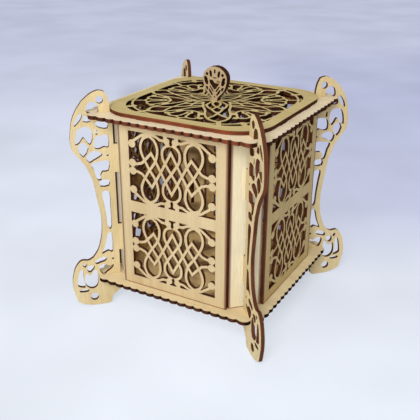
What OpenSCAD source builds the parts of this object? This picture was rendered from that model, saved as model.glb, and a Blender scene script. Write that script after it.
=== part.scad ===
// Dice box of laser-cut plywood: four fretwork walls between two scalloped
// plates, a post and a fretwork leg at each corner, and a loose fretwork lid
// with an upright knob of two sheets. Millimetres, +Z up, origin on the
// floor under the middle of the box.

/* [Sheet and joints] */
// thickness of the plywood sheet that every piece is cut from
sheet = 3; // [2.6:0.1:3.6]
// clearance on each side of a tongue in its slot
slot_gap = 0.1; // [0.05:0.05:0.2]
// clearance between the lid's locating frame and the opening it drops into
lid_gap = 0.4; // [0.3:0.1:0.8]
// radius that the cutter leaves in the inner corners of the wall fretwork
cut_r = 0.3; // [0.2:0.05:0.5]

/* [Walls] */
// distance from the middle of the box to the outer face of a wall
wall_out = 69; // [68:0.5:70]
// width of a wall
wall_w = 94.4; // [93:0.5:95]
// height of a wall between the two plates
wall_h = 137.4; // [136:0.5:142]
// height of the base plate's underside above the floor
base_low = 25.5; // [24:0.5:27]
// width of a wall's window
window_w = 75.5; // [75:0.5:77]
// height of a wall's window
window_h = 57; // [56.5:0.5:58]
// height of the bar between the two windows
mid_bar = 9.4; // [8:0.2:11]
// height of the rail under the lower window
low_rail = 7.8; // [6:0.2:9]
// width of the fretwork strands in the walls
strand_w = 2.1; // [1.8:0.1:2.4]
// width of a wall's tongue in a plate
tongue_w = 12; // [8:1:16]
// distance from the wall's middle line to the middle of a tongue
tongue_x = 24; // [16:1:30]
// amount by which a tongue stops short of the far face of its plate
tongue_short = 0.2; // [0.1:0.1:0.5]

/* [Plates] */
// distance that the base plate's scallops stand out past the walls
base_over = 8.7; // [7:0.1:10]
// distance that the top plate's scallops stand out past the walls
top_over = 9.2; // [7:0.1:10]
// number of scallops along one edge
scallops = 16; // [14:1:18]
// length of edge that the corner lobes take up, from the corner
corner_run = 17.9; // [17:0.1:19]
// depth of the notch between two scallops
scallop_deep = 1.6; // [0.8:0.1:1.8]
// radius of the two lobes at each corner
lobe_r = 5.7; // [5:0.1:6.4]
// distance of a corner lobe's middle from the nearer edge line
lobe_in = 6; // [5.5:0.1:7]
// distance from one corner lobe to its twin, along an edge
lobe_split = 7; // [6:0.1:8]
// distance from the walls' outer faces in to the opening under the lid
mouth_in = 6.4; // [5.5:0.1:7]
// corner radius of the opening under the lid
mouth_r = 33.5; // [30:0.5:36]

/* [Posts and legs] */
// gap between a corner post's edge and the corner of the next wall
post_gap = 0.6; // [0.3:0.1:1.6]
// distance that a post's outer face stands out past the walls' inner corners
post_proud = 0.8; // [0:0.1:2.4]
// height of the lower leg tongue's bottom edge above the base plate
tongue_low = 22; // [20:0.5:24]
// height of the upper leg tongue's bottom edge above the base plate
tongue_high = 91; // [88:0.5:94]
// height of a leg tongue
tongue_h = 23.6; // [20:0.2:25]
// gap between the bottom of a leg's plate slot and the plate's corner
leg_gap = 0.4; // [0.2:0.1:0.8]
// distance from the post's outer face out to the leg's inner edge
leg_off = 3.2; // [2.6:0.1:4.2]
// radius of the round hole in the leg's head
head_hole = 2.9; // [2:0.1:3.6]
// radius of the round hole in the foot
foot_hole = 3.5; // [3:0.1:5]
// amount by which the openings in a leg are wider than their listed outline, on each side
leg_open = 0.5; // [0:0.1:0.8]

/* [Lid] */
// distance that the lid lies over the top plate, past its opening
lid_over = 5.9; // [4.5:0.1:6.2]
// corner radius of the lid
lid_r = 28.5; // [28:0.5:36]
// width of the plain rim round the lid's fretwork
lid_rim = 8.6; // [7:0.1:10]
// corner radius of the lid's fretwork window
lid_window_r = 30; // [28:0.5:36]
// corner radius of the inner arc in the corners of the lid's fretwork
lid_arc_r = 43; // [40:0.5:46]
// width of the fretwork strands in the lid
lid_strand = 1.8; // [1.6:0.1:2.2]
// radius of the hub under the knob
hub_r = 5.2; // [4.6:0.1:6]
// width of the locating frame under the lid
ring_w = 3; // [2.5:0.1:4]
// width of the knob's neck and of its tongue in the lid
neck_w = 4.6; // [4:0.1:5.4]
// height of the knob above the lid
knob_h = 27.4; // [24:0.2:29]
// half the width of the knob
knob_half = 10.6; // [9.5:0.1:12]
// amount by which the openings in the knob are wider than their listed outline, on each side
knob_open = 0.35; // [0:0.05:0.5]

/* [Hidden] */
$fn = 48;
wood = [0.85, 0.74, 0.54];
wood_light = [0.9, 0.82, 0.66];
wood_pale = [0.8, 0.7, 0.5];
base_top = base_low + sheet;
top_low = base_top + wall_h;
top_top = top_low + sheet;
lid_top = top_top + sheet;
wall_mid = wall_out - sheet / 2;
base_half = wall_out + base_over;
top_half = wall_out + top_over;
mouth_half = wall_out - mouth_in;
lid_half = mouth_half + lid_over;
post_out = (wall_w / 2 + wall_out - sheet) / sqrt(2) + post_proud;
post_w = sqrt(2) * (wall_out - sheet - wall_w / 2) - 2 * post_gap;
post_in = post_out - sheet;
low_mid = base_top + low_rail + window_h / 2;
high_mid = low_mid + window_h + mid_bar;
ring_out = mouth_half - lid_gap;
ring_out_r = mouth_r - lid_gap;
tongue_deep = sheet - tongue_short;
leg_back = post_out + leg_off;
// sizes at which the knotwork is drawn
drawn_window_w = 75.5;
drawn_window_h = 57;
drawn_rosette = 59.9;

// point of a smooth curve through p1 and p2, with the neighbours p0 and p3
function spline(p0, p1, p2, p3, t) =
    0.5 * (2 * p1 + (p2 - p0) * t + (2 * p0 - 5 * p1 + 4 * p2 - p3) * t * t
    + (3 * p1 - p0 - 3 * p2 + p3) * t * t * t);
// open line through the points, with steps points for each span
function curve(p, steps = 2) = concat(
    [for (i = [0 : len(p) - 2], k = [0 : steps - 1])
        spline(p[max(i - 1, 0)], p[i], p[i + 1], p[min(i + 2, len(p) - 1)], k / steps)],
    [p[len(p) - 1]]);
// closed line through the points
function loop(p, steps = 2) = [for (i = [0 : len(p) - 1], k = [0 : steps - 1])
    spline(p[(i + len(p) - 1) % len(p)], p[i], p[(i + 1) % len(p)], p[(i + 2) % len(p)], k / steps)];
// the same points on the other side of one or both middle lines
function flip(p, sx, sy) = [for (q = p) [q[0] * sx, q[1] * sy]];
// a closed outline from its right half, listed from the middle line back to the middle line
function both_sides(p) = concat(p,
    [for (i = [len(p) - 1 : -1 : 0]) if (abs(p[i][0]) > 0.01) [-p[i][0], p[i][1]]]);

// the closed line with every point moved outwards
function grown(p, by) = let (n = len(p),
    area = [for (i = [0 : n - 1]) cross(p[i], p[(i + 1) % n])] * [for (q = p) 1])
    [for (i = [0 : n - 1]) let (d = p[(i + 1) % n] - p[(i + n - 1) % n])
        p[i] + by * sign(area) * [d[1], -d[0]] / norm(d)];
// direction of the line at point i, and the sideways step there for a strand of width w
function heading(p, i) = let (d = p[min(i + 1, len(p) - 1)] - p[max(i - 1, 0)]) d / norm(d);
function sideways(p, i, w) = let (h = heading(p, i), d = p[i] - p[max(i - 1, 0)],
    bend = i == 0 ? 1 : max(0.7, h * d / norm(d))) w / 2 / bend * [-h[1], h[0]];
// flat strand of even width along a line
module strand(p, w) {
    polygon(concat([for (i = [0 : len(p) - 1]) p[i] + sideways(p, i, w)],
        [for (i = [len(p) - 1 : -1 : 0]) p[i] - sideways(p, i, w)]));
}

// square with round corners, given by half its width
module round_square(half, r) {
    square([2 * half, 2 * (half - r)], center = true);
    square([2 * (half - r), 2 * half], center = true);
    for (x = [-1, 1], y = [-1, 1])
        translate([x * (half - r), y * (half - r)])
            circle(r, $fn = 96);
}

// distance of a plate's corner lobes along the diagonal, and how far apart they are across it
function lobe_out(half) = (2 * (half - lobe_in) - lobe_split) / sqrt(2);
lobe_side = lobe_split / sqrt(2);
// reach of a plate's corner where it meets a leg's faces
function corner_reach(half) = lobe_out(half) + sqrt(lobe_r * lobe_r - pow(lobe_side - sheet / 2, 2));

// plate with scalloped edges and two lobes at each corner
module scalloped_plate(half) {
    pitch = 2 * (half - corner_run) / scallops;
    scallop_r = (pitch * pitch / 4 + scallop_deep * scallop_deep) / (2 * scallop_deep);
    intersection() {
        square(2 * (half - scallop_deep), center = true);
        rotate(45)
            square(2 * lobe_out(half) + 4, center = true);
    }
    for (q = [0 : 3])
        rotate(90 * q) {
            for (i = [0 : scallops - 1])
                translate([(i - (scallops - 1) / 2) * pitch, half - scallop_r])
                    circle(scallop_r);
            translate([half - lobe_in, half - lobe_in - lobe_split])
                circle(lobe_r);
            translate([half - lobe_in - lobe_split, half - lobe_in])
                circle(lobe_r);
        }
}

// slots for the tongues of the four walls
module wall_slots() {
    for (q = [0 : 3], x = [-1, 1])
        rotate(90 * q)
            translate([x * tongue_x, wall_mid])
                square([tongue_w + 2 * slot_gap, sheet + 2 * slot_gap], center = true);
}

// point of a chevron, up or down
module apex(way) {
    polygon([[0, way * 2], [0.95, way * 0.3], [0, -way * 1.5], [-0.95, way * 0.3]]);
}

// knotwork of one window, measured from the window's middle
module window_fret() {
    eight = [[0, 22.6], [-4.3, 21.2], [-6.9, 18.3], [-7.7, 15], [-7.2, 11], [-5.2, 7.5], [-2.5, 3.5],
             [0, 0], [2.5, -3.5], [5.2, -7.5], [7.2, -11], [7.7, -15], [6.9, -18.3],
             [4.3, -21.2], [0, -22.6]];
    chevron = [[0, 16.5], [4.9, 7.8], [8.9, 0.5], [13.3, -7.2], [17.4, -13.5]];
    arm = [[17.4, 13.5], [22.5, 8], [26, 4.4], [30, 3.1], [34.6, 3.2]];
    outer = [[19.3, 26.7], [14.6, 24], [11.9, 18], [12.6, 11], [15, 5.5], [19.2, 0], [23.1, -6.5],
             [26, -12], [26.9, -18], [24.4, -24], [19.3, -26.7]];
    arch = [[34.6, 18.6], [32.5, 21.5], [29, 24], [25, 26.8], [21, 27.8], [17, 28], [13, 27],
            [9.5, 25.2], [5.5, 25]];
    neck = 2;
    tee_w = 6;
    tee_h = 1.2;
    difference() {
        for (sx = [-1, 1]) {
            strand(curve(flip(eight, sx, 1)), strand_w);
            for (sy = [-1, 1]) {
                strand(flip(chevron, sx, sy), strand_w);
                translate([0, sy * 16.5])
                    apex(sy);
                translate([sx * 17.4, sy * 13.5])
                    apex(sy);
                strand(flip(arm, sx, sy), strand_w);
                strand(curve(flip(outer, sx, sy)), strand_w);
                strand(flip(arch, sx, sy), strand_w);
                translate([sx * 34.6, sy * 18.6])
                    circle(3.2, $fn = 18);
                translate([sx * 34.6, sy * 3.2])
                    circle(3.2, $fn = 18);
                translate([sx * 3.7, sy * 25.2])
                    circle(2.7, $fn = 16);
                translate([sx * 4.7, sy * 27.5])
                    square([3.4, 4], center = true);
            }
        }
        for (sy = [-1, 1]) {
            translate([0, sy * (window_h / 2 - 3)])
                square([neck, 7], center = true);
            translate([0, sy * (window_h / 2 - tee_h / 2)])
                square([tee_w, tee_h], center = true);
        }
    }
}

// outline of one wall, with its tongues; the base plate's top is at 0
module wall_shape() {
    offset(delta = -cut_r)
        offset(delta = cut_r)
            union() {
                difference() {
                    translate([-wall_w / 2, 0])
                        square([wall_w, wall_h]);
                    for (z = [low_mid, high_mid])
                        translate([0, z - base_top])
                            square([window_w, window_h], center = true);
                }
                for (z = [low_mid, high_mid])
                    translate([0, z - base_top])
                        intersection() {
                            scale([window_w / drawn_window_w, window_h / drawn_window_h])
                                window_fret();
                            square([window_w + 1, window_h + 1], center = true);
                        }
                for (x = [-1, 1], z = [-tongue_deep, wall_h - cut_r])
                    translate([x * tongue_x - tongue_w / 2, z])
                        square([tongue_w, tongue_deep + cut_r]);
            }
}

// wall standing on the base plate, turned to its side
module wall(side) {
    rotate(90 * side)
        translate([0, -wall_out + sheet, base_top])
            rotate([90, 0, 0])
                linear_extrude(sheet)
                    wall_shape();
}

// corner post with two slots for the leg's tongues
module post(side) {
    rotate(90 * side + 45)
        translate([post_in, 0, base_top])
            rotate([90, 0, 90])
                linear_extrude(sheet)
                    difference() {
                        translate([-post_w / 2, 0])
                            square([post_w, wall_h]);
                        for (z = [tongue_low, tongue_high])
                            translate([-sheet / 2 - slot_gap, z - slot_gap])
                                square([sheet + 2 * slot_gap, tongue_h + 2 * slot_gap]);
                    }
}

// outline and openings of a leg. The upper part's points lie at these distances from the top
// plate's corner point along the diagonal and from its underside; the lower part's points from
// the base plate's corner point and its top.
leg_head_edge = [
    [-25.2, 3], [-25.1, 8.1], [-24.5, 12.1], [-23.6, 15.2], [-21.8, 18.8], [-19.6, 19.8], [-16.8, 20.2],
    [-14.6, 19.6], [-11.8, 18.5], [-9.4, 16.9], [-7, 15], [-4.2, 12.6], [-2, 9.6], [-0.1, 7.1], [1.7, 3.8],
    [3.1, 1], [4.3, -2.4], [5.1, -5.8], [5.7, -9.4], [6.2, -12.9], [6.6, -16.9], [6.5, -21], [6, -24.7],
    [4.7, -27.4], [3, -29.8], [0.7, -32.8], [-1.4, -35.8], [-3.4, -38.8], [-4.8, -41.6], [-6, -44.6],
    [-7, -47.8], [-8.6, -51.8], [-9.5, -56.4], [-10, -60], [-10.6, -63.8], [-11.4, -69.4], [-12.1, -73.9],
    [-12.8, -78.4], [-13.4, -82.8], [-13.7, -87], [-13.7, -91.5], [-13.4, -96]];
leg_head_cuts = [
    [[-15.6, 3.5], [-16, 6.2], [-15.2, 9], [-13.4, 11], [-10.7, 11.1], [-8.6, 9.4], [-7.6, 6.4], [-8, 3.5]],
    [[-3.4, 2.8], [-2.4, 2.6], [1, -1.8], [2.4, -6.6], [-1, -3.2], [-3, 0]],
    [[-9.2, -3.7], [-7, 0.2], [-5, 0], [-4.6, -3.2]],
    [[-22.3, -9.6], [-22.3, -4.6], [-14.3, -4.6], [-14.3, -7], [-17.4, -9]],
    [[-14.4, -14], [-13.9, -12.2], [-14.1, -10.4], [-13.7, -10.2], [-13.4, -12.2], [-13.8, -14.2]],
    [[-8.6, -8.9], [-4.6, -8.1], [-0.6, -9.4], [1.4, -13.4], [2.4, -21.4], [-0.4, -19.8], [-3.6, -15.6],
     [-6.2, -19], [-8.4, -21.8], [-10.1, -18.2], [-10.4, -13.4]],
    [[-2.9, -20.2], [-6.7, -24.8], [-2.8, -31.6], [0.8, -24.6]],
    [[-22.3, -15.9], [-15.2, -16], [-12.8, -17.8], [-11.9, -22], [-12.5, -25.2], [-15, -25.8],
     [-17.1, -25.1], [-19.6, -24.3], [-22.3, -25.1]],
    [[-17.2, -30.9], [-13.6, -28.4], [-9.6, -28.1], [-5.2, -31.6], [-7.3, -36.5], [-10.1, -35],
     [-14.6, -32.7]],
    [[-22.1, -36.9], [-15.6, -36.7], [-8.6, -38.2], [-10.8, -43.4], [-11.8, -48], [-13.2, -51.8],
     [-15.3, -51.6], [-14.7, -48.4], [-16.8, -44.8], [-21.2, -44.6]],
    [[-21, -57.2], [-21.2, -52.8], [-15, -52.8], [-14.7, -57.2]],
    [[-20.8, -62.8], [-15.8, -62.8], [-16.5, -69.4], [-17.6, -77.4], [-18.4, -85.4], [-18.7, -92],
     [-20, -95.2], [-21.1, -93.4], [-21.1, -77.4]]];
leg_foot_edge = [
    [-12.1, 36.8], [-11.2, 32], [-10, 27.4], [-8.3, 23], [-6.2, 19.8], [-4.1, 17.1], [-1.7, 15.5],
    [0.7, 14.8], [3.1, 15.3], [5.4, 15.4], [7.5, 14.2], [9.3, 12.2], [11.1, 9.3], [12.4, 6.1], [13.3, 2.5],
    [14.1, -1.4], [14.4, -5.5], [14.3, -10], [13.4, -14.7], [12.4, -19.1], [11, -23.6], [6.4, -26.4],
    [1.9, -27.6], [-1.5, -28.3], [-3.5, -28.5], [-13.9, -28.5], [-16.3, -27.9], [-17.4, -26.4],
    [-17.9, -22.9], [-19, -20.9], [-20.5, -19.4], [-22.6, -17.7], [-24.6, -16.2], [-27.5, -13.6],
    [-30.5, -10.4], [-32.9, -6.8], [-33.9, -3]];
leg_foot_cuts = [
    [[-20.1, 37.6], [-17.5, 37.2], [-16.2, 32], [-14.6, 26], [-11.9, 19.7], [-14.3, 21.3], [-17.4, 22.3],
     [-20.2, 21]],
    [[-14.7, 14.6], [-13.3, 12.9], [-9.9, 12.1], [-6.4, 10.9], [-5.9, 13.1], [-12.5, 16.5]],
    [[-20.3, 8.3], [-16.9, 7], [-14.4, 8.8], [-11.9, 9.4], [-9.1, 8.2], [-8.9, 5.6], [-10.2, 2],
     [-12, 0.4], [-14.7, 2.6], [-18.7, 5.4]],
    [[-2.9, -11.6], [-5.5, -9.6], [-6.5, -5.5], [-6.5, -1], [-6.1, 3.4], [-4.5, 5], [-0.9, -0.2],
     [2.3, 2.4], [3.7, -3], [3.2, -8], [0.7, -10.9]],
    [[-4.5, 8.5], [0.4, 9.4], [1.3, 5.9], [-0.7, 3.8]],
    [[2.1, 11.4], [4.8, 11.1], [3.4, 8.8]],
    [[5.7, 6], [7.6, 5.6], [9.1, 0], [9.9, -5.4], [9.7, -8.4], [4.6, -10], [5.4, -5], [5.7, 0]],
    [[2.3, -14.3], [2.3, -12.4], [9.1, -12.8], [8.5, -14.1]]];
// middles of the leg's round holes, measured in the same way
head_at = [-17.7, 12.8];
foot_at = [-3, -20.2];
small_high = [-21.6, -31.6];
small_low = [-20.2, 14.2];
small_hole = 0.9;
// a leg point moved from the corner that it is measured from
function at_head(q) = q + [sqrt(2) * top_half, wall_h];
function at_foot(q) = q + [sqrt(2) * base_half, 0];

module leg_shape() {
    tongue_tip = post_in + slot_gap;
    cleft = corner_reach(top_half) + leg_gap;
    low_cleft = corner_reach(base_half) + leg_gap;
    difference() {
        polygon(concat([for (q = leg_head_edge) at_head(q)],
            [for (q = leg_foot_edge) at_foot(q)],
            [[leg_back, -sheet]],
            [for (z = [tongue_low, tongue_high], q = [[leg_back, z], [tongue_tip, z],
                [tongue_tip, z + tongue_h], [leg_back, z + tongue_h]]) q],
            [[leg_back, wall_h + sheet]]));
        for (p = leg_head_cuts)
            polygon(loop(grown([for (q = p) at_head(q)], leg_open)));
        for (p = leg_foot_cuts)
            polygon(loop(grown([for (q = p) at_foot(q)], leg_open)));
        translate(at_head(head_at))
            circle(head_hole);
        translate(at_foot(foot_at))
            circle(foot_hole);
        for (q = [at_head(small_high), at_foot(small_low)])
            translate(q)
                circle(small_hole, $fn = 20);
        translate([post_in - 20, -sheet - slot_gap])
            square([low_cleft - post_in + 20, sheet + 2 * slot_gap]);
        translate([post_in - 20, wall_h - slot_gap])
            square([cleft - post_in + 20, sheet + 2 * slot_gap]);
    }
}

// leg in the upright plane through the box's corner
module leg(side) {
    rotate(90 * side + 45)
        translate([0, sheet / 2, base_top])
            rotate([90, 0, 0])
                linear_extrude(sheet)
                    leg_shape();
}

// strands of the lid's six-petalled rosette. A petal's points are the distance
// across it and the distance from the middle.
petal_core = [[0, 20.8], [-2.4, 24.2], [-3.9, 27], [-3.2, 31], [-1.7, 35], [0, 39], [1.7, 42.6], [3.8, 46.4],
              [6.2, 49.4], [7.3, 52.2], [5.9, 55.4], [3, 57.8], [0, 60.5]];
large_core = [[0, 3.8], [2.5, 6.8], [3.1, 11], [2.2, 16]];
small_core = [[0, 11.4], [1.9, 14], [2.2, 17]];
large_inner = [[2.6, 2.8], [4.8, 6.6], [7.6, 12.4], [7.9, 16.5], [6.8, 21.5], [5, 26], [3.6, 28.4]];
small_inner = [[8.2, 14.2], [7.9, 16.5], [6.8, 21.5], [5, 26], [3.6, 28.4]];
petal_outer = [[10.4, 21], [9.6, 26], [9.2, 30], [9.3, 34], [9.6, 38], [9.5, 43], [8.9, 47.5], [8.2, 51],
               [6.8, 54.5], [4, 58.5], [0, 61.5]];
large_outer = [[9.8, 5.7], [10.6, 10], [10.8, 16]];
small_outer = [[10.3, 17.8]];
// strands between two petals, measured from the line midway between them
gap_arch = [[-10.4, 38], [-6.8, 38.8], [-3.4, 36.8], [0, 36.2], [3.4, 36.8], [6.8, 38.8], [10.4, 38]];
gap_drop = [[6.8, 38.8], [8.2, 42.6], [10.6, 46.4], [12.2, 50.4], [11.4, 53.6], [8.4, 55], [4.8, 54.4],
            [2.6, 51.6], [2.1, 48], [1.6, 44.4]];

// one petal that points along +Y, large or small
module petal(large) {
    for (s = [-1, 1]) {
        strand(curve(flip(concat(large ? large_core : small_core, petal_core), s, 1)), lid_strand);
        strand(flip(large ? large_inner : small_inner, s, 1), lid_strand);
        strand(flip(concat(large ? large_outer : small_outer, petal_outer), s, 1), lid_strand);
    }
    strand([[0, 59], [0, 74]], 2 * lid_strand);
}

// what lies between two petals
module petal_gap() {
    strand(gap_arch, lid_strand);
    strand([[0, 36], [0, 42]], lid_strand);
    translate([0, 42])
        circle(3, $fn = 20);
    for (s = [-1, 1]) {
        strand(flip(gap_drop, s, 1), lid_strand);
        translate([s * 9.8, 40.8])
            circle(2.5, $fn = 16);
        translate([s * 14.4, 50.6])
            circle(2.3, $fn = 16);
    }
    strand([[0, 56.4], [0, 74]], lid_strand);
    for (s = [-1, 1])
        strand([[s * 5, 54.4], [0, 57]], lid_strand);
}

// bud that fills the middle of a corner of the window, and points outwards along +X
module corner_bud() {
    polygon([[-3.4, 0], [-1.2, 3.4], [1.6, 2.2], [12, 1], [12, -1], [1.6, -2.2], [-1.2, -3.4]]);
}

// the lid's knotwork, a rosette of three large and three small petals
module lid_fret() {
    difference() {
        union() {
            circle(hub_r);
            for (i = [0 : 5])
                rotate(60 * i - 150) {
                    petal(i % 2 == 0);
                    rotate(30)
                        petal_gap();
                }
            difference() {
                round_square(drawn_rosette + lid_strand / 2, lid_arc_r + lid_strand / 2);
                round_square(drawn_rosette - lid_strand / 2, lid_arc_r - lid_strand / 2);
            }
            for (q = [0 : 3])
                rotate(90 * q + 45)
                    translate([drawn_rosette * sqrt(2) - (sqrt(2) - 1) * lid_arc_r, 0])
                        corner_bud();
        }
        for (i = [0 : 5])
            rotate(60 * i)
                translate([0, 42])
                    circle(1.1, $fn = 16);
    }
}

// outline of the lid
module lid_shape() {
    offset(delta = -cut_r)
        offset(delta = cut_r)
            union() {
                difference() {
                    round_square(lid_half, lid_r);
                    round_square(lid_half - lid_rim, lid_window_r);
                }
                intersection() {
                    scale((lid_half - lid_rim) / drawn_rosette)
                        lid_fret();
                    round_square(lid_half - lid_rim + 1, lid_window_r + 1);
                }
            }
}

module base_plate() {
    color(wood)
        translate([0, 0, base_low])
            linear_extrude(sheet)
                difference() {
                    scalloped_plate(base_half);
                    wall_slots();
                }
}

module top_plate() {
    color(wood)
        translate([0, 0, top_low])
            linear_extrude(sheet)
                difference() {
                    scalloped_plate(top_half);
                    round_square(mouth_half, mouth_r);
                    wall_slots();
                }
}

module front_wall() {
    color(wood)
        wall(0);
}

module right_wall() {
    color(wood)
        wall(1);
}

module rear_wall() {
    color(wood)
        wall(2);
}

module left_wall() {
    color(wood)
        wall(3);
}

module post_front_right() {
    color(wood_light)
        post(3);
}

module post_rear_right() {
    color(wood_light)
        post(0);
}

module post_rear_left() {
    color(wood_light)
        post(1);
}

module post_front_left() {
    color(wood_light)
        post(2);
}

module leg_front_right() {
    color(wood_pale)
        leg(3);
}

module leg_rear_right() {
    color(wood_pale)
        leg(0);
}

module leg_rear_left() {
    color(wood_pale)
        leg(1);
}

module leg_front_left() {
    color(wood_pale)
        leg(2);
}

module lid_plate() {
    color(wood_light)
        translate([0, 0, top_top])
            linear_extrude(sheet)
                difference() {
                    lid_shape();
                    square([neck_w + 2 * slot_gap, 2 * sheet + 2 * slot_gap], center = true);
                }
}

module lid_ring() {
    color(wood)
        translate([0, 0, top_low])
            linear_extrude(sheet)
                difference() {
                    round_square(ring_out, ring_out_r);
                    round_square(ring_out - ring_w, ring_out_r - ring_w);
                }
}

// knob outline: half the knob, distance from the middle line and height above the lid, at the drawn size
module knob_shape() {
    drawn_half = 10.6;
    drawn_h = 27.4;
    edge = [[2.3, 0], [2.3, 1.6], [3, 3.2], [4.9, 5.2], [7.3, 7.7], [8.8, 10], [9.8, 12.9],
            [10.5, 15.8], [10.6, 18], [10.4, 20], [9.2, 22.7], [6.9, 25], [4, 26.7], [0, 27.4]];
    shield = [[0, 9.6], [1.5, 11], [2.6, 12.5], [4, 14.3], [4.4, 16.4], [3, 16.3], [0, 15.8]];
    slit = [[9.1, 18.8], [9, 16.2], [8.4, 14.4], [7.1, 12.9], [6.2, 13], [6.2, 15], [6.9, 17.4], [7.7, 18.7]];
    low = [[7.9, 11.2], [7.1, 9.4], [6.4, 8.6], [6.1, 9.3], [6.4, 10.8]];
    line_cut = [[5, 9.3], [4.9, 8.2], [3.6, 6.3], [2.3, 4.8], [1.7, 4.9], [2.7, 6.5], [3.9, 8.4]];
    line_in = [[1, 7.6], [1.4, 7.7], [2.8, 9.5], [4.2, 11.6], [4.1, 11.8], [2.6, 9.9]];
    crook = [[2.9, 19.2], [3.7, 19.4], [4.3, 21.6], [4.4, 23.8], [3.3, 23.4], [2.8, 21.2]];
    hole_at = [6.9, 21.1];
    hole_r = 1.2;
    scale([knob_half / drawn_half, knob_h / drawn_h])
        difference() {
            polygon(both_sides(concat(curve([for (i = [0 : len(edge) - 2]) edge[i]]),
                [edge[len(edge) - 1]])));
            polygon(loop(grown(both_sides(shield), knob_open)));
            for (s = [-1, 1]) {
                for (p = [slit, low, line_cut, line_in, crook])
                    polygon(loop(grown(flip(p, s, 1), knob_open)));
                translate([s * hole_at[0], hole_at[1]])
                    circle(hole_r, $fn = 20);
            }
            translate([-0.7, 22])
                square([1.4, 3]);
            translate([-1.6, 18.1])
                square([3.2, 0.8]);
            polygon([[0, 2.5], [0.7, 3.4], [0, 4.3], [-0.7, 3.4]]);
        }
}

// one sheet of the knob with its tongue, its front face at y
module knob_sheet(y) {
    translate([0, y + sheet, lid_top])
        rotate([90, 0, 0])
            linear_extrude(sheet)
                union() {
                    knob_shape();
                    translate([-neck_w / 2, -tongue_deep])
                        square([neck_w, tongue_deep + 0.5]);
                }
}

module knob_front() {
    color(wood_light)
        knob_sheet(-sheet);
}

module knob_rear() {
    color(wood_light)
        knob_sheet(0);
}

base_plate();
top_plate();
front_wall();
rear_wall();
left_wall();
right_wall();
post_front_left();
post_front_right();
post_rear_left();
post_rear_right();
leg_front_left();
leg_front_right();
leg_rear_left();
leg_rear_right();
lid_plate();
lid_ring();
knob_front();
knob_rear();
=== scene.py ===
"""Looks, floor, light and camera for the plywood dice box.

Metres, +Z up, the same frame as the CAD: the origin is on the floor under
the middle of the box, and the front wall faces -Y.
"""
import math

import bpy
from mathutils import Matrix, Vector

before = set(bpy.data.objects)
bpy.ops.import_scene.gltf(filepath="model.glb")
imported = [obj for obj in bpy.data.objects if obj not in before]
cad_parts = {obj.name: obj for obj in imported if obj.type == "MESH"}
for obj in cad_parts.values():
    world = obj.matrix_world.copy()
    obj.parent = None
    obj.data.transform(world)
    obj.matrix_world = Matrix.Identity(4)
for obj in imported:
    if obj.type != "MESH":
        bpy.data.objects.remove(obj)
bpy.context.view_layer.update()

MM = 0.001
SHEET = 3 * MM
# roughness of the noises that make the painted light and shade inside the box, the burnt spots and
# patches, and the painted shade of creases in the cloth
PATCHY = 0.55


def grey(value):
    """A colour with three equal parts."""
    return (value, value, value)


# ------------------------------------------------------------------ wood
# each board's face colour, some with painted light and shade in them, as noted below
WALL_WOOD = (0.60, 0.47, 0.275)
# painted shade: the side walls are darker than the front and rear walls, as if in shade
SHADED_SIDE_WOOD = (0.57, 0.425, 0.175)
# the posts are paler wood, and painted paler still as if lit
PALE_LIT_POST_WOOD = (0.78, 0.70, 0.50)
LEG_WOOD = (0.69, 0.56, 0.315)
KNOB_WOOD = (0.46, 0.34, 0.20)
# painted light: the base plate, and the lid's ring with it, are paler to make up for the walls'
# shade on the base plate
LIT_PLATE_WOOD = (0.84, 0.70, 0.44)
# painted light: the top plate is paler to make up for the lid's shade on it
LIT_TOP_WOOD = (0.95, 0.81, 0.57)
LID_WOOD = (0.70, 0.565, 0.25)

# steps of the grain's noises per metre: along the grain, across it, through the sheet
BAND_STEPS = (7, 75, 40)
FIBRE_STEPS = (60, 1500, 900)
PORE_STEPS = (240, 2600, 1500)
CLOUD_STEPS = (16, 22, 20)
# each board's grain is cut from another place, this far on from the last
SEED_STEP = 0.37
# tones of the wood's bands against its face colour
DEEP_BAND = (0.94, 0.91, 0.85)
PALE_BAND = 1.05
BAND_PLACES = (0.36, 0.50, 0.66)
FIBRE_TONES = [(0.35, grey(0.93)), (0.60, grey(1.02))]
PORE_TONES = [(0.30, grey(0.80)), (0.38, grey(1.0))]
PORE_STRENGTH = 0.5
CLOUD_TONES = [(0.35, (0.93, 0.91, 0.88)), (0.65, (1.02, 1.02, 1.02))]

# gloss and roughness of a face and of an edge, and the grain's relief
ROUGHNESS = 0.42
FIBRE_ROUGHNESS = 0.22
EDGE_ROUGHNESS = 0.2
EDGE_GLOSS = 0.08
FACE_GLOSS = 0.25
RELIEF = 0.12 * MM
RELIEF_STRENGTH = 0.35
PORE_RELIEF = 0.5

# ------------------------------------------------------------------ burns, and painted light and shade
CHAR = (0.035, 0.014, 0.006)
CHAR_WARM = (0.15, 0.050, 0.022)
CHAR_RED = (0.25, 0.080, 0.040)
# three plies across a cut edge, with dark glue lines between them
PLIES = [(0.00, CHAR), (0.10, CHAR_WARM), (0.30, CHAR_RED), (0.36, CHAR), (0.50, CHAR_WARM),
         (0.64, CHAR), (0.70, CHAR_RED), (0.90, CHAR_WARM), (1.00, CHAR)]
CHAR_SPOT_STEPS = 900.0
CHAR_SPOT_STRENGTH = 0.55
CHAR_PATCH_STEPS = 70.0
CHAR_PATCH_TONES = [(0.40, grey(0.0)), (0.75, grey(0.55))]
# a surface that faces along the board's normal by less than this is a cut edge
FACE_LIMIT = 0.75

# past this distance from the box's middle an edge is a board's rim, nearer it is the fretwork's
FRET_REACH = 60 * MM
# tones that make the edges of the fretwork, and of each board's rim, darker or paler than the burnt
# plies
FRET_EDGE = (0.45, 0.42, 0.40)
EDGE_PLAIN = (0.75, 0.75, 0.75)
EDGES = {
    "base_plate": (0.50, 0.47, 0.45),
    "top_plate": (1.15, 0.95, 0.85),
    "lid_plate": (1.25, 1.0, 0.90),
}
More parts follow.
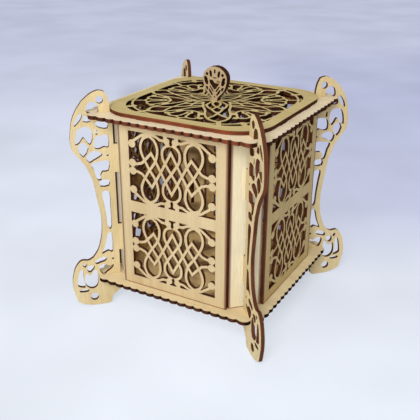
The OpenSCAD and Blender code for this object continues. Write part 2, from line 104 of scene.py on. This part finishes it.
# scallops: the notches are darker than the crests
SCALLOPED = ("base_plate", "top_plate")
NOTCH_TONES = [(0.74, grey(0.25)), (0.88, grey(0.60)), (0.97, grey(1.0))]
# level boards: painted shade on the edges, darker toward the left end, and on the right side
LEVEL_SPAN = 0.2
LEFT_END_SHADE_TONES = [(0.12, grey(0.35)), (0.40, grey(1.0))]
RIGHT_SIDE_SHADE_TONES = [(0.40, grey(1.0)), (0.85, grey(0.35))]

# dark lines where boards meet, burnt joints with painted shade of the gaps: their widths, the count
# of widths at which they have faded out, and their strength
THIN_LINE = 0.7 * MM
WALL_LINE = 1.3 * MM
POST_LINE = 1.2 * MM
LINE_FADE = 1.6
LINE_STRENGTH = 0.85

# the room inside: its half width, its reach toward the corners as |x| + |y|, and its height
INNER_HALF = 66.1 * MM
INNER_CORNER = 112 * MM
INNER_LOW = 28.4 * MM
INNER_HIGH = 168.96 * MM
# painted light and shade inside the box: pale spots where light falls through the fretwork, dark
# ones where shade falls
INSIDE_PATCH_STEPS = 38.0
INSIDE_PAINTED_LIGHT = (1.45, 1.31, 1.03)
INSIDE_PAINTED_SHADE = (0.36, 0.26, 0.17)
INSIDE_LIGHT_SHADE_TONES = [(0.38, INSIDE_PAINTED_SHADE), (0.56, INSIDE_PAINTED_LIGHT)]

# ------------------------------------------------------------------ floor
FLOOR_SIZE = 12
FLOOR_HEIGHT = -0.3 * MM
# level directions: to the back of the photograph, and to its right
AWAY = (-0.484, 0.875, 0)
SIDEWAYS = (0.875, 0.484, 0)
FLOOR_NEAR = (0.865, 0.915, 1.00)
FLOOR_FAR = (0.64, 0.68, 0.87)
FLOOR_SPAN = 2.0
FLOOR_TONES = [(0.38, FLOOR_NEAR), (1.0, FLOOR_FAR)]
# painted shade of creases in the cloth
FOLD_SHADE_STEPS = 5.0
FOLD_SHADE_TONES = [(0.35, grey(0.90)), (0.65, grey(1.0))]
FLOOR_GLOW = 0.66
# a greyer part at the right behind the box: where each side of it starts, and how far it takes
RIGHT_SHADE = (0.80, 0.80, 0.90)
RIGHT_START, RIGHT_RISE = 0.04, 0.12
REAR_START, REAR_RISE = 0.02, 0.15
REAR_END, REAR_FALL = 1.2, 0.5
# the box's soft shadow behind it: half its width, how it widens, its length and its soft edges
SHADOW_TONE = (0.30, 0.29, 0.31)
SHADOW_HALF = 0.085
SHADOW_SPREAD = 0.14
SHADOW_LONG = 0.80
SHADOW_SIDE_FALL, SHADOW_RISE, SHADOW_FALL = 0.035, 0.05, 0.30


# ------------------------------------------------------------------ shader helpers
def node(tree, kind, **settings):
    """A new shader node with its settings and plain input values."""
    made = tree.nodes.new(kind)
    for key, value in settings.items():
        if key in made.inputs:
            made.inputs[key].default_value = value
        else:
            setattr(made, key, value)
    return made


def ramp(tree, factor, stops):
    """Colour ramp through (position, colour) stops."""
    made = tree.nodes.new("ShaderNodeValToRGB")
    elements = made.color_ramp.elements
    while len(elements) > 1:
        elements.remove(elements[-1])
    elements[0].position = stops[0][0]
    elements[0].color = (*stops[0][1], 1)
    for position, colour in stops[1:]:
        element = elements.new(position)
        element.color = (*colour, 1)
    tree.links.new(factor, made.inputs[0])
    return made.outputs[0]


def dot(tree, vector, direction):
    """Length of a vector along a direction."""
    made = node(tree, "ShaderNodeVectorMath", operation="DOT_PRODUCT")
    made.inputs[1].default_value = direction
    tree.links.new(vector, made.inputs[0])
    return made.outputs["Value"]


def maths(tree, operation, first, second=None, clamp=False):
    """A sum on numbers or on other nodes' outputs."""
    made = node(tree, "ShaderNodeMath", operation=operation, use_clamp=clamp)
    for slot, value in enumerate((first, second)):
        if value is None:
            continue
        if isinstance(value, (int, float)):
            made.inputs[slot].default_value = value
        else:
            tree.links.new(value, made.inputs[slot])
    return made.outputs[0]


def product(tree, first, *others):
    """All the values multiplied together."""
    for other in others:
        first = maths(tree, "MULTIPLY", first, other)
    return first


def rise(tree, value, start, length):
    """0 up to start, then up to 1 over the length."""
    return maths(tree, "DIVIDE", maths(tree, "SUBTRACT", value, start), length, clamp=True)


def fall(tree, value, end, length):
    """1, then down to 0 over the length that stops at end."""
    return maths(tree, "DIVIDE", maths(tree, "SUBTRACT", end, value), length, clamp=True)


def share(tree, value, span):
    """0 to 1 over a span that has its middle at 0."""
    return maths(tree, "ADD", maths(tree, "DIVIDE", value, span), 0.5)


def mix(tree, factor, first, second, blend="MIX"):
    """Two colours mixed by a factor."""
    made = node(tree, "ShaderNodeMix", data_type="RGBA", blend_type=blend)
    for slot, value in ((0, factor), (6, first), (7, second)):
        if isinstance(value, (int, float)):
            made.inputs[slot].default_value = value
        elif isinstance(value, tuple):
            made.inputs[slot].default_value = (*value, 1)
        else:
            tree.links.new(value, made.inputs[slot])
    return made.outputs[2]


def times(tree, colour, tone, strength=1.0):
    """A colour multiplied by a tone."""
    return mix(tree, strength, colour, tone, "MULTIPLY")


def noise(tree, vector, scale=1.0, detail=2.0, roughness=0.5):
    """Soft random values between 0 and 1, with scale steps per metre."""
    made = node(tree, "ShaderNodeTexNoise", Scale=scale, Detail=detail, Roughness=roughness)
    tree.links.new(vector, made.inputs["Vector"])
    return made.outputs["Fac"]


def stretched(tree, along, across, deep, steps):
    """Coordinates with a different scale for each direction of the board."""
    made = tree.nodes.new("ShaderNodeCombineXYZ")
    for slot, (value, step) in enumerate(zip((along, across, deep), steps)):
        tree.links.new(maths(tree, "MULTIPLY", value, step), made.inputs[slot])
    return made.outputs[0]


def level_parts(tree, vector):
    """The larger of a vector's two level parts, their sum, and the upright part."""
    steps = tree.nodes.new("ShaderNodeSeparateXYZ")
    tree.links.new(vector, steps.inputs[0])
    level = [maths(tree, "ABSOLUTE", steps.outputs[slot]) for slot in (0, 1)]
    return maths(tree, "MAXIMUM", *level), maths(tree, "ADD", *level), steps.outputs[2]


def inside_box(tree, place):
    """1 on the faces that look into the box, where pools of light and shade are painted."""
    wide, both, high = level_parts(tree, place)
    return product(tree,
                   maths(tree, "LESS_THAN", wide, INNER_HALF),
                   maths(tree, "LESS_THAN", both, INNER_CORNER),
                   maths(tree, "GREATER_THAN", high, INNER_LOW),
                   maths(tree, "LESS_THAN", high, INNER_HIGH))


def rim_line(tree, along, across, limits, width):
    """1 in the dark line where a board butts against its neighbours, wider at its sides: a burnt
    joint with painted shade of the gap.
    """
    nearest = None
    for value, low, high, wide in ((along, *limits[0], THIN_LINE), (across, *limits[1], width)):
        below, above = maths(tree, "SUBTRACT", value, low), maths(tree, "SUBTRACT", high, value)
        gap = maths(tree, "DIVIDE", maths(tree, "MINIMUM", below, above), wide)
        nearest = gap if nearest is None else maths(tree, "MINIMUM", nearest, gap)
    return maths(tree, "SUBTRACT", LINE_FADE, nearest, clamp=True)


# ------------------------------------------------------------------ plywood
def plywood(name, normal, grain, middle, face, seed, burnt, limits, line, scalloped):
    """Laser-cut plywood: pale grained faces, scorched edges that show the plies.

    normal and grain are the board's directions, middle is the place of its
    middle layer along normal, face is its colour and burnt its edges' tone.
    limits are the ends, along and across the grain, of a board that butts
    against its neighbours with a dark line as wide as line, or None; the line is a
    burnt joint with painted shade of the gap. A scalloped board's notches are
    darker than its crests.
    """
    cross = normal.cross(grain)
    is_level = round(normal.z) == 1
    material = bpy.data.materials.new(name)
    material.use_nodes = True
    tree = material.node_tree
    shader = tree.nodes["Principled BSDF"]
    coordinates = tree.nodes.new("ShaderNodeTexCoord")
    place, tilt = coordinates.outputs["Object"], coordinates.outputs["Normal"]
    along = dot(tree, place, grain)
    across = dot(tree, place, cross)
    deep = maths(tree, "SUBTRACT", dot(tree, place, normal), middle)

    # rotary-cut figure: long soft bands, then fine fibres, pores and clouds
    seeded = maths(tree, "ADD", across, seed)
    bands = noise(tree, stretched(tree, along, seeded, deep, BAND_STEPS), detail=4.0, roughness=0.6)
    fibres = noise(tree, stretched(tree, along, seeded, deep, FIBRE_STEPS))
    pores = noise(tree, stretched(tree, along, seeded, deep, PORE_STEPS), detail=1.0)
    cloud = noise(tree, stretched(tree, along, seeded, deep, CLOUD_STEPS))
    pale = tuple(min(1.0, part * PALE_BAND) for part in face)
    dark = tuple(part * tone for part, tone in zip(face, DEEP_BAND))
    colour = ramp(tree, bands, list(zip(BAND_PLACES, (dark, face, pale))))
    colour = times(tree, colour, ramp(tree, fibres, FIBRE_TONES))
    colour = times(tree, colour, ramp(tree, pores, PORE_TONES), PORE_STRENGTH)
    colour = times(tree, colour, ramp(tree, cloud, CLOUD_TONES))

    # painted pools of light and shade inside the box, and the dark lines where boards meet: burnt
    # joints with painted shade of the gaps
    inside_patches = noise(tree, place, INSIDE_PATCH_STEPS, roughness=PATCHY)
    lit_and_shaded = times(tree, colour, ramp(tree, inside_patches, INSIDE_LIGHT_SHADE_TONES))
    colour = mix(tree, inside_box(tree, place), colour, lit_and_shaded)
    if limits:
        lined = product(tree, rim_line(tree, along, across, limits, line), LINE_STRENGTH)
        colour = mix(tree, lined, colour, CHAR_WARM)

    # cut edge: three plies, with blacker spots and redder patches
    spots = noise(tree, place, CHAR_SPOT_STEPS, detail=3.0, roughness=PATCHY)
    patches = noise(tree, place, CHAR_PATCH_STEPS, roughness=PATCHY)
    plies = ramp(tree, share(tree, deep, SHEET), PLIES)
    edge = mix(tree, product(tree, spots, CHAR_SPOT_STRENGTH), plies, CHAR)
    edge = mix(tree, ramp(tree, patches, CHAR_PATCH_TONES), edge, CHAR_RED)
    outside = maths(tree, "GREATER_THAN", level_parts(tree, place)[0], FRET_REACH)
    edge = times(tree, edge, mix(tree, outside, FRET_EDGE, burnt))
    if scalloped:
        edge = times(tree, edge, ramp(tree, level_parts(tree, tilt)[0], NOTCH_TONES))
    # painted shade on the level boards' edges: darker toward the left end and on the right side
    if is_level:
        edge = times(tree, edge, ramp(tree, share(tree, along, LEVEL_SPAN), LEFT_END_SHADE_TONES))
        edge = times(tree, edge, ramp(tree, dot(tree, tilt, (1, 0, 0)), RIGHT_SIDE_SHADE_TONES))

    facing = maths(tree, "ABSOLUTE", dot(tree, tilt, normal))
    is_face = maths(tree, "GREATER_THAN", facing, FACE_LIMIT)
    tree.links.new(mix(tree, is_face, edge, colour), shader.inputs["Base Color"])

    is_edge = maths(tree, "SUBTRACT", 1.0, is_face)
    rough = maths(tree, "ADD", product(tree, fibres, FIBRE_ROUGHNESS), ROUGHNESS)
    rough = maths(tree, "ADD", rough, product(tree, is_edge, EDGE_ROUGHNESS))
    tree.links.new(rough, shader.inputs["Roughness"])
    gloss = maths(tree, "ADD", product(tree, is_face, FACE_GLOSS), EDGE_GLOSS)
    tree.links.new(gloss, shader.inputs["Specular IOR Level"])

    bump = node(tree, "ShaderNodeBump", Strength=RELIEF_STRENGTH, Distance=RELIEF)
    height = maths(tree, "ADD", fibres, product(tree, pores, PORE_RELIEF))
    tree.links.new(height, bump.inputs["Height"])
    tree.links.new(bump.outputs["Normal"], shader.inputs["Normal"])
    return material


# ------------------------------------------------------------------ boards
# each board's normal, the way its grain runs, and its wood
UP = (0, 0, 1)
BOARDS = {
    "base_plate": (UP, (1, 0, 0), LIT_PLATE_WOOD),
    "top_plate": (UP, (1, 0, 0), LIT_TOP_WOOD),
    "lid_plate": (UP, (1, 0, 0), LID_WOOD),
    "lid_ring": (UP, (1, 0, 0), LIT_PLATE_WOOD),
    "front_wall": ((0, 1, 0), UP, WALL_WOOD),
    "rear_wall": ((0, 1, 0), UP, WALL_WOOD),
    "left_wall": ((1, 0, 0), UP, SHADED_SIDE_WOOD),
    "right_wall": ((1, 0, 0), UP, SHADED_SIDE_WOOD),
    "knob_front": ((0, 1, 0), UP, KNOB_WOOD),
    "knob_rear": ((0, 1, 0), UP, KNOB_WOOD),
    "post_front_left": ((1, 1, 0), UP, PALE_LIT_POST_WOOD),
    "post_rear_right": ((1, 1, 0), UP, PALE_LIT_POST_WOOD),
    "post_front_right": ((1, -1, 0), UP, PALE_LIT_POST_WOOD),
    "post_rear_left": ((1, -1, 0), UP, PALE_LIT_POST_WOOD),
    "leg_front_left": ((1, -1, 0), UP, LEG_WOOD),
    "leg_rear_right": ((1, -1, 0), UP, LEG_WOOD),
    "leg_front_right": ((1, 1, 0), UP, LEG_WOOD),
    "leg_rear_left": ((1, 1, 0), UP, LEG_WOOD),
}
# lowest and highest place of a wall's or post's face, between the plates
UPRIGHT = (28.5 * MM, 165.9 * MM)


def reach(board, direction):
    """Lowest and highest place of a board along a direction."""
    places = [vertex.co.dot(direction) for vertex in board.data.vertices]
    return min(places), max(places)


for number, (name, (normal, grain, face)) in enumerate(BOARDS.items()):
    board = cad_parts[name]
    is_post = name.startswith("post")
    normal = Vector(normal).normalized()
    grain = Vector(grain)
    middle = sum(reach(board, normal)) / 2
    limits = None
    if is_post or name.endswith("wall"):
        limits = (UPRIGHT, reach(board, normal.cross(grain)))
    board.data.materials.clear()
    board.data.materials.append(plywood(
        "ply_" + name, normal, grain, middle, face, number * SEED_STEP, EDGES.get(name, EDGE_PLAIN),
        limits, POST_LINE if is_post else WALL_LINE, name in SCALLOPED))


def add_floor():
    """Pale cloth that turns bluish far away, partly glowing so that shadows stay soft."""
    material = bpy.data.materials.new("floor")
    material.use_nodes = True
    tree = material.node_tree
    tree.nodes.clear()
    place = tree.nodes.new("ShaderNodeTexCoord").outputs["Object"]
    away = dot(tree, place, AWAY)
    side = dot(tree, place, SIDEWAYS)
    shade = ramp(tree, share(tree, away, FLOOR_SPAN), FLOOR_TONES)
    # painted shade of creases in the cloth
    fold_shade = noise(tree, place, FOLD_SHADE_STEPS, roughness=PATCHY)
    shade = times(tree, shade, ramp(tree, fold_shade, FOLD_SHADE_TONES))

    right = product(tree,
                    rise(tree, side, RIGHT_START, RIGHT_RISE),
                    rise(tree, away, REAR_START, REAR_RISE),
                    fall(tree, away, REAR_END, REAR_FALL))
    shade = mix(tree, right, shade, times(tree, shade, RIGHT_SHADE))

    # the box's own soft shadow, which the glow would wash out
    breadth = maths(tree, "ADD", product(tree, away, SHADOW_SPREAD), SHADOW_HALF)
    shadow = product(tree,
                     fall(tree, maths(tree, "ABSOLUTE", side), breadth, SHADOW_SIDE_FALL),
                     rise(tree, away, 0.0, SHADOW_RISE),
                     fall(tree, away, SHADOW_LONG, SHADOW_FALL))
    shade = mix(tree, shadow, shade, times(tree, shade, SHADOW_TONE))

    lit = node(tree, "ShaderNodeBsdfDiffuse", Roughness=0.5)
    glow = node(tree, "ShaderNodeEmission", Strength=1.0)
    tree.links.new(shade, lit.inputs["Color"])
    tree.links.new(shade, glow.inputs["Color"])
    path = tree.nodes.new("ShaderNodeLightPath")
    both = tree.nodes.new("ShaderNodeMixShader")
    tree.links.new(product(tree, path.outputs["Is Camera Ray"], FLOOR_GLOW), both.inputs[0])
    tree.links.new(lit.outputs[0], both.inputs[1])
    tree.links.new(glow.outputs[0], both.inputs[2])
    out = tree.nodes.new("ShaderNodeOutputMaterial")
    tree.links.new(both.outputs[0], out.inputs["Surface"])
    bpy.ops.mesh.primitive_plane_add(size=FLOOR_SIZE, location=(0, 0, FLOOR_HEIGHT))
    made = bpy.context.object
    made.name = "floor"
    made.data.materials.append(material)


add_floor()


# ------------------------------------------------------------------ light
BOX_MIDDLE = (0, 0, 0.10)
SKY_LIGHT = (0.93, 0.92, 0.90, 1)
SKY_STRENGTH = 0.44
BACKDROP = (0.66, 0.70, 0.84, 1)


def area_light(name, place, size, power, colour):
    """A square lamp that points at the box."""
    data = bpy.data.lights.new(name, "AREA")
    data.size = size
    data.energy = power
    data.color = colour
    made = bpy.data.objects.new(name, data)
    bpy.context.scene.collection.objects.link(made)
    made.location = place
    aim = Vector(BOX_MIDDLE) - Vector(place)
    made.rotation_euler = aim.to_track_quat("-Z", "Y").to_euler()


area_light("key", (0.42, -1.42, 1.15), size=0.9, power=22, colour=(1.0, 0.985, 0.96))
area_light("low", (0.15, -1.30, 0.32), size=0.5, power=3, colour=(1.0, 0.96, 0.90))
area_light("left", (-1.4, -0.8, 0.6), size=1.0, power=2.5, colour=(0.98, 1.0, 0.97))

# the sky lights the box with one colour and is seen behind it in another
world = bpy.data.worlds.new("world")
bpy.context.scene.world = world
world.use_nodes = True
sky = world.node_tree
background = sky.nodes["Background"]
background.inputs["Color"].default_value = SKY_LIGHT
background.inputs["Strength"].default_value = SKY_STRENGTH
backdrop = node(sky, "ShaderNodeBackground", Color=BACKDROP, Strength=1.0)
seen = sky.nodes.new("ShaderNodeLightPath")
either = sky.nodes.new("ShaderNodeMixShader")
sky.links.new(seen.outputs["Is Camera Ray"], either.inputs[0])
sky.links.new(background.outputs[0], either.inputs[1])
sky.links.new(backdrop.outputs[0], either.inputs[2])
sky.links.new(either.outputs[0], sky.nodes["World Output"].inputs["Surface"])

# ------------------------------------------------------------------ camera
# place and direction that the photograph was taken from
CAMERA_PLACE = Vector((249.5, -460.2, 308.8)) * MM
CAMERA_TURN = math.radians(28.96)
CAMERA_DOWN = math.radians(23.98)
CAMERA_ROLL = math.radians(0.34)
CAMERA_LENS = 57.36
CAMERA_SENSOR = 36
CAMERA_CLIP = 0.01
camera_data = bpy.data.cameras.new("camera")
camera_data.sensor_width = CAMERA_SENSOR
camera_data.lens = CAMERA_LENS
camera_data.clip_start = CAMERA_CLIP
camera = bpy.data.objects.new("camera", camera_data)
bpy.context.scene.collection.objects.link(camera)
looking = Vector((-math.sin(CAMERA_TURN) * math.cos(CAMERA_DOWN),
                  math.cos(CAMERA_TURN) * math.cos(CAMERA_DOWN),
                  -math.sin(CAMERA_DOWN)))
turn = looking.to_track_quat("-Z", "Y").to_matrix().to_4x4()
turn = turn @ Matrix.Rotation(CAMERA_ROLL, 4, "Z")
camera.matrix_world = Matrix.Translation(CAMERA_PLACE) @ turn
bpy.context.scene.camera = camera
bpy.context.scene.view_settings.view_transform = "Standard"
